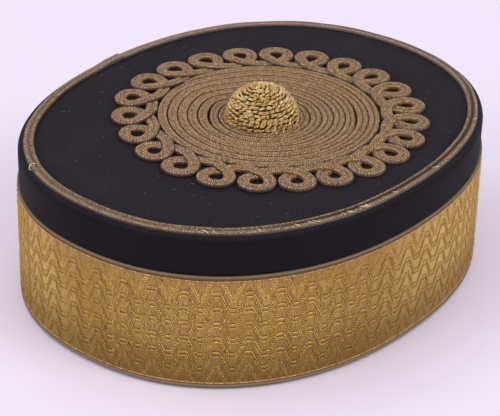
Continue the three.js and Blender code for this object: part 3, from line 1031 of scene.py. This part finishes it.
def coil_braid():
    path, outwards, room, way = coil_route()
    lift = CLOTH_TOP + 0.06 * MM * np.sin(way / (11 * MM))
    width = np.clip(room - 0.05 * MM, 0.2 * MM, WIDEST_BRAID)[:, None]
    grid = braid_points(path, -outwards, way, width, BRAID_HEIGHT, lift)
    count, wide = grid.shape[:2]
    points = grid.reshape(-1, 3)
    ends = [np.arange(wide), np.arange(wide) + (count - 1) * wide]
    middles = np.array([points[ring].mean(0) for ring in ends])
    points = np.concatenate([points, middles])
    marks = braid_marks(way)
    marks = np.concatenate([marks, marks[[ends[0][0], ends[1][0]]]])
    blocks = [net(count, wide, join_columns=True), fan(len(points) - 2, ends[0])[:, ::-1],
              fan(len(points) - 1, ends[1])]
    return make_piece("coil_rows", points, blocks, BROWN_BRAID, {"place": marks})


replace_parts(coil_braid(), "coil_braid")

# %% [markdown]
# ## The scrolled loops
# The same kind of braid runs round the coil in 23 loops, crossing over itself at the foot of each one.
# The route of one loop is a short list of points, given as shares of the loop's length and width.
# A bezier curve with a bevel would sweep a section along it, but it turns the section at tight bends,
# so the net is laid out here too, with the braid always flat on the cloth.

# %% The route of the loops
LOOPS = 23
LOOP_WIDTH = 5.1 * MM
LOOP_HOLE = 5.2 * MM
LOOP_SPACING = 0.25 * MM
RING_RADIUS = 55.4 * MM
LINK_RADIUS = 46.8 * MM
CROSSING_LIFT = 0.95 * MM
FIRST_LOOP = math.radians(7.3)
LOOP_STRAY = math.radians(3)
STRAY_FROM = math.radians(213)
FRONT_STRAY = 0.85 * MM
BACK_STRAY = 1.0 * MM
HALF_OUT = (LOOP_HOLE + LOOP_WIDTH) / 2
LINK = (LINK_RADIUS - RING_RADIUS) / HALF_OUT
LOOP_ROUTE = np.array([
    # along, outwards, lift, how far the point moves out in a closely curled loop, 1 in the next loop
    (0, 1, 0, 0, 0), (-0.74, 0.7, 0, 0, 0), (-1, 0, 0, 0, 0), (-0.72, -0.7, 0, 0.1, 0),
    (-0.18, -1.12, 0, 0.22, 0), (0.4, -1.52, 0, 0.05, 0), (1.0, LINK + 0.04, 0, 0, 0),
    (-1.35, LINK, 0.25, 0, 1), (-0.72, -1.6, 0.7, 0.06, 1), (0, -1.32, 1, 0.2, 1),
    (0.62, -0.84, 0.7, 0.06, 1), (1, 0, 0.1, 0, 1), (0.74, 0.7, 0, 0, 1)])


def loop_angle(loop):
    """Where each loop's middle lies. The real ones are a little closer on one side of the ring."""
    even = TURN * loop / LOOPS
    return even + FIRST_LOOP + LOOP_STRAY * np.cos(even - STRAY_FROM)


def hand_laid(angle):
    """How far a loop lies outside the true ring: more in one quarter than in the next."""
    front = 0.5 - 0.5 * np.cos(angle + math.radians(27))
    waves = np.cos(4 * angle - math.radians(72))
    return FRONT_STRAY * waves * front + BACK_STRAY * (1 - front) ** 4


def route_knots():
    """The points of all loops in the order that the braid runs."""
    along, out, lift, curl, next_loop = LOOP_ROUTE.T
    loop = np.arange(LOOPS)[:, None] + next_loop[None]
    middle = loop_angle(loop)
    room = (loop_angle(loop + 1) - loop_angle(loop - 1)) / 2 * RING_RADIUS
    half_along = (room - LOOP_SPACING - LOOP_WIDTH) / 2
    angle = middle + along * half_along / RING_RADIUS
    out = out + curl * np.cos(middle - math.radians(220))
    radius = RING_RADIUS + out * HALF_OUT + hand_laid(middle) * np.clip(1 + (out + 0.9), 0, 1)
    x = RING_MIDDLE[0] + radius * np.cos(angle)
    y = RING_MIDDLE[1] + radius * np.sin(angle)
    return np.stack([x, y, np.broadcast_to(lift * CROSSING_LIFT, angle.shape)], -1).reshape(-1, 3)


def through(knots, steps=24):
    """A closed smooth curve through the knots, eased by the square root of their distances."""
    before, start, end, after = (np.roll(knots, shift, axis=0)[:, None] for shift in (1, 0, -1, -2))

    def gap(first, second):
        return np.sqrt(np.linalg.norm(second - first, axis=-1, keepdims=True))

    t1 = gap(before, start)
    t2 = t1 + gap(start, end)
    t3 = t2 + gap(end, after)
    t = t1 + (t2 - t1) * (np.arange(steps) / steps)[None, :, None]
    a = before * (t1 - t) / t1 + start * t / t1
    b = start * (t2 - t) / (t2 - t1) + end * (t - t1) / (t2 - t1)
    c = end * (t3 - t) / (t3 - t2) + after * (t - t2) / (t3 - t2)
    d = a * (t2 - t) / t2 + b * t / t2
    e = b * (t3 - t) / (t3 - t1) + c * (t - t1) / (t3 - t1)
    return (d * (t2 - t) / (t2 - t1) + e * (t - t1) / (t2 - t1)).reshape(-1, 3)


print("knots on the route of the loops:", len(route_knots()))


# %% Make the loops
def scroll_braid():
    curve = through(route_knots())
    path, way = evenly(np.concatenate([curve, curve[:1]]), BRAID_STEP)
    path, way = path[:-1], way[:-1]
    length = way[-1] + way[1]
    ahead_by = np.roll(path, -1, axis=0) - np.roll(path, 1, axis=0)
    ahead_by[:, 2] = 0
    ahead_by /= np.linalg.norm(ahead_by, axis=1)[:, None]
    side = np.stack([-ahead_by[:, 1], ahead_by[:, 0]], -1)
    lift = CLOTH_TOP + path[:, 2]
    grid = braid_points(path[:, :2], side, way, LOOP_WIDTH, BRAID_HEIGHT, lift)
    blocks = [net(*grid.shape[:2], join_rows=True, join_columns=True)]
    return make_piece("scroll_loops", grid.reshape(-1, 3), blocks, LOOP_BRAID,
                      {"place": braid_marks(way, inner=-1)}, girth=length / MM)


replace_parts(scroll_braid(), "scroll_braid")

# %% [markdown]
# ## The button
# A wooden mould is covered with needle netting in bright gilt wire: rows of knots, each a little bundle
# that humps up between two holes. A ball with a bumpy material would stay smooth in outline, so a dark
# core carries every knot as four curved wires that spread apart in their middle.

# %% Button finishes
def gilt_wire_finish():
    wire = Finish("gilt_wire", Specular_IOR_Level=0.5)
    shade = wire.mark("shade").other("Fac")
    place = wire.cap_place()
    patina = wire.noise(place, 0.16, detail=2.0)
    twist = wire.noise(wire.stretched(place, (2.6, 2.6, 4)), 1.0, detail=3.0)
    colour = wire.blend(shade, tint(212, 156, 58), tint(255, 236, 152))
    # painted shade and painted highlights along the twisted wire
    colour = wire.blend(twist.ramp(0.5, 0.4) * 0.7, colour, tint(120, 82, 24))
    colour = wire.blend(twist.ramp(0.56, 0.64), colour, tint(255, 248, 206))
    colour = wire.blend(patina.ramp(0.54, 0.66) * 0.4, colour, tint(206, 186, 146))
    # painted shade: the lower side of the button is darker
    colour = wire.blend(wire.parts(place)[2].ramp(72, 65) * 0.3, colour, tint(140, 98, 34))
    wire.feed("Base Color", colour)
    wire.feed("Metallic", 0.85 - patina.ramp(0.5, 0.66) * 0.4)
    wire.feed("Roughness", 0.22 + twist * 0.14)
    wire.bump(twist, 0.12 * MM, strength=0.7)
    return wire


def core_finish():
    core = Finish("button_core", Roughness=0.85)
    grain = core.noise(core.cap_place(), 1.4, detail=3.0)
    core.feed("Base Color", core.blend(grain, tint(52, 32, 10), tint(88, 58, 20)))
    return core


GILT_WIRE = gilt_wire_finish()
CORE = core_finish()
print("nodes in the gilt wire:", len(GILT_WIRE.tree.nodes))


# %% Make the button's core
button_low, button_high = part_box("button")
BUTTON_MIDDLE = np.array([(button_low.x + button_high.x) / 2, (button_low.y + button_high.y) / 2])
BUTTON_RADIUS = (button_high.x - button_low.x) / 2
BUTTON_TOP = button_high.z
BUTTON_FOOT = CROWN_HEIGHT + 1.0 * MM
FOOT_RADIUS = 9.7 * MM
WIRE_RADIUS = 0.19 * MM
HUMP = 1.05 * MM
CORE_RADIUS = BUTTON_RADIUS - HUMP - WIRE_RADIUS
CORE_HEIGHT = BUTTON_TOP - BUTTON_FOOT - HUMP - WIRE_RADIUS * 0.4
CORE_COLUMNS = 64
print("the button is", round(2 * BUTTON_RADIUS / MM, 1), "mm across")


def dome(turn, around, proud=0.0):
    """Points on the dome: turn 0 is its widest row, a quarter turn its top."""
    low = np.minimum(turn, 0)
    radius = (CORE_RADIUS + proud) * np.cos(turn)
    height = BUTTON_FOOT + (CORE_HEIGHT + proud) * np.sin(np.maximum(turn, 0)) + 9 * MM * np.sin(low)
    return np.stack(np.broadcast_arrays(BUTTON_MIDDLE[0] + radius * np.cos(around),
                                        BUTTON_MIDDLE[1] + radius * np.sin(around), height), -1)


def button_core():
    around = np.linspace(0, TURN, CORE_COLUMNS, endpoint=False)
    turns = np.concatenate([[-0.24], np.linspace(-0.15, 1.5, 18)])
    rows = [dome(np.full(CORE_COLUMNS, turn), around) for turn in turns]
    foot = np.stack([BUTTON_MIDDLE[0] + FOOT_RADIUS * np.cos(around),
                     BUTTON_MIDDLE[1] + FOOT_RADIUS * np.sin(around),
                     np.full(CORE_COLUMNS, CLOTH_TOP)], -1)
    middles = [[*BUTTON_MIDDLE, CLOTH_TOP], [*BUTTON_MIDDLE, BUTTON_FOOT + CORE_HEIGHT]]
    points = np.concatenate([foot, *rows, middles])
    count = len(rows) + 1
    first = np.arange(CORE_COLUMNS)
    last = first + (count - 1) * CORE_COLUMNS
    blocks = [net(count, CORE_COLUMNS, join_columns=True), fan(len(points) - 2, first)[:, ::-1],
              fan(len(points) - 1, last)]
    return make_piece("button_core", points, blocks, CORE)


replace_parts(button_core(), "button")


# %% Make the button's netting
KNOT_WIDTH = 2.3 * MM
KNOT_STRANDS = (-1.5, -0.5, 0.5, 1.5)
STRANDS_APART = 0.26 * MM
MIDDLE_STRAND_PROUD = 0.16 * MM
KNOT_LEAN = 0.26
NETTING_ROWS = np.append(np.linspace(-0.1, 1.38, 15), [1.47, 1.55])


def knot_wires(turn, around, radius):
    """The wires of one knot on the dome and their shades: each humps up and twists about the next."""
    share = np.linspace(-0.5, 0.5, 7)
    along = share * KNOT_WIDTH * 1.2
    lean = rng.normal(KNOT_LEAN, 0.16)
    tone = rng.beta(2.2, 1.8)
    size = rng.uniform(0.85, 1.15)
    wires, shades = [], []
    for strand in KNOT_STRANDS:
        twist = rng.uniform(0, TURN) + share * TURN * 0.8
        apart = STRANDS_APART * strand * (1 - 1.4 * share ** 2) + 0.14 * MM * np.sin(twist)
        hump = size * HUMP * np.cos(share * math.pi * 0.96) - MIDDLE_STRAND_PROUD * abs(strand)
        hump = np.minimum(hump + 0.13 * MM * np.cos(twist), HUMP + 0.25 * MM)
        turn_by = turn + (apart + along * lean) / CORE_HEIGHT
        wires.append(dome(turn_by, around + along / max(radius, 2 * MM), hump))
        shades.append(np.clip(tone + rng.normal(0, 0.3), 0, 1))
    return wires, shades


def netting():
    paths, shades = [], []
    for row, row_turn in enumerate(NETTING_ROWS):
        radius = CORE_RADIUS * math.cos(row_turn)
        knots = max(3, int(round(TURN * radius / KNOT_WIDTH)))
        for knot in range(knots):
            around = (knot + 0.5 * (row % 2) + rng.normal(0, 0.08)) / knots * TURN
            turn = row_turn + 0.02 * math.sin(3 * around + row) + rng.normal(0, 0.012)
            wires, tones = knot_wires(turn, around, radius)
            paths += wires
            shades += tones
    radii = WIRE_RADIUS * np.array([0.7, 0.9, 1, 1.05, 1, 0.9, 0.7])
    make_wires("button_netting", paths, radii, GILT_WIRE, sides=5, shades=shades)


netting()

# %% [markdown]
# ## Lint
# Black cloth shows every pale thread and grain of dust. A few longer threads lie where the picture has
# them, and the rest is strewn at random with a fixed seed. Particles would strew it too, but single
# small meshes can be kept off the braid.

# %% Strew the lint
def lint_finish():
    lint = Finish("lint", Roughness=0.9)
    grain = lint.noise(lint.cap_place(), 0.7, detail=1.0)
    lint.feed("Base Color", lint.blend(grain.ramp(0.35, 0.65), tint(72, 70, 80), tint(150, 146, 156)))
    return lint


LINT = lint_finish()
THREADS = [
    # x, y and length in mm
    (-88.8, -3.4, 4.6), (-61.8, -4.2, 1.8), (-59.6, -15.2, 2.0), (-57.4, -17.4, 1.6),
    (-64.8, -14.3, 1.5), (-47.3, 61.6, 1.8), (-63.3, -25.2, 1.3), (64.7, -34.5, 1.6)]
LINT_RADIUS = 0.045 * MM
SHORT_THREADS = 190
TOP_GRAINS = 1500
SIDE_GRAINS = 160
CLEAR_OF_LOOPS = 66 * MM


def strewn_on_top(count):
    """Random places on the flat top, clear of the loops and of the edge braid."""
    angles = rng.uniform(0, TURN, count)
    x, y = oval(angles, 9 * MM)
    share = np.sqrt(rng.uniform(0, 1, count))[:, None]
    places = np.stack([x, y], -1) * share
    return places[np.linalg.norm(places - RING_MIDDLE, axis=1) > CLEAR_OF_LOOPS]


def threads_of_lint():
    places = strewn_on_top(SHORT_THREADS)
    lengths = rng.uniform(0.4, 1.5, len(places))
    given = np.array(THREADS)
    places = np.concatenate([places, given[:, :2] * MM])
    lengths = np.concatenate([lengths, given[:, 2]]) * MM
    heading = rng.uniform(0, TURN, len(places))
    bend = rng.normal(0, 1.1, len(places))
    share = np.linspace(-0.5, 0.5, 7)
    turned = heading[:, None] + bend[:, None] * share
    step = np.stack([np.cos(turned), np.sin(turned)], -1) * (lengths / 6)[:, None, None]
    flat = places[:, None] + np.cumsum(step, axis=1)
    lift = CLOTH_TOP + 0.09 * MM + 0.1 * MM * np.abs(np.sin(share * 5))
    paths = np.concatenate([flat, np.broadcast_to(lift[None, :, None], (*flat.shape[:2], 1))], -1)
    make_wires("lint_threads", paths, LINT_RADIUS * np.ones(7), LINT, sides=4)


def grains_of_lint():
    top = strewn_on_top(TOP_GRAINS)
    top = np.column_stack([top, np.full(len(top), CLOTH_TOP)])
    way = rng.uniform(0, GIRTH, SIDE_GRAINS)
    side = on_wall(way, rng.uniform(LACE_TOP + 1.5 * MM, SIDE_TOP, SIDE_GRAINS), -SIDE_OUTSIDE)
    middles = np.concatenate([top, side])
    corners = np.array([(1, 0, 0), (0, 1, 0), (-1, 0, 0), (0, -1, 0), (0, 0, 1), (0, 0, -1)])
    size = 0.04 * MM + 0.13 * MM * rng.beta(1, 4, (len(middles), 1, 3))
    points = (middles[:, None] + corners[None] * size).reshape(-1, 3)
    ring = np.arange(4)
    eight = np.concatenate([fan(4, ring), fan(5, ring)[:, ::-1]])
    make_piece("lint_grains", points, [copied(eight, len(middles), len(corners))], LINT)


threads_of_lint()
grains_of_lint()

# %% [markdown]
# ## Floor and light
# The cap stands on a pale, slightly violet board under soft light, and most of the light comes from the
# bright room. Two wide lamps in front, the stronger on the right, shine on the lace, and a weak one high
# on the left draws the ribs of the braid. Small lamps would draw hard shadows, so all are wide discs.

# %% Floor
BOARD_HALF = 2.0


def floor():
    board = Finish("board", Roughness=0.6)
    mottle = board.noise(board.cap_place(), 0.02, detail=2.0)
    board.feed("Base Color", board.blend(mottle, tint(238, 234, 243), tint(242, 238, 246)))
    steps = np.linspace(-BOARD_HALF, BOARD_HALF, 9)
    x, y = np.meshgrid(steps, steps)
    mesh = bpy.data.meshes.new("board")
    points = np.stack([x, y, np.zeros_like(x)], -1).reshape(-1, 3)
    mesh.from_pydata(points.tolist(), [], net(9, 9).tolist())
    mesh.materials.append(board.material)
    piece = bpy.data.objects.new("board", mesh)
    bpy.context.scene.collection.objects.link(piece)
    print("the board is", 2 * BOARD_HALF, "m wide")


floor()


# %% Lamps
LIT_POINT = Vector((0, 0, 0.03))


def lamp(name, place, size, power, colour):
    data = bpy.data.lights.new(name, "AREA")
    data.shape = "DISK"
    data.size = size
    data.energy = power
    data.color = colour
    light = bpy.data.objects.new(name, data)
    light.location = place
    light.rotation_mode = "QUATERNION"
    light.rotation_quaternion = (LIT_POINT - Vector(place)).to_track_quat("-Z", "Y")
    bpy.context.scene.collection.objects.link(light)


def seen_from_camera(aside, towards, height):
    """A place given as it lies in the picture: to the right, nearer, and up."""
    nearer = -Vector((ahead.x, ahead.y, 0)).normalized()
    return level_right * aside + nearer * towards + Vector((0, 0, height))


lamp("high_left", seen_from_camera(-0.75, -0.15, 1.35), 0.8, 2.6, (1.0, 0.965, 0.985))
lamp("front_right", seen_from_camera(1.15, 0.65, 1.1), 1.0, 8.5, (1.0, 0.975, 0.99))
lamp("front_left", seen_from_camera(-0.95, 0.7, 0.75), 0.9, 4.2, (1.0, 0.975, 0.99))

world = bpy.data.worlds.new("room")
world.use_nodes = True
room = world.node_tree.nodes["Background"]
room.inputs["Color"].default_value = tint(240, 232, 250)
room.inputs["Strength"].default_value = 0.84
bpy.context.scene.world = world
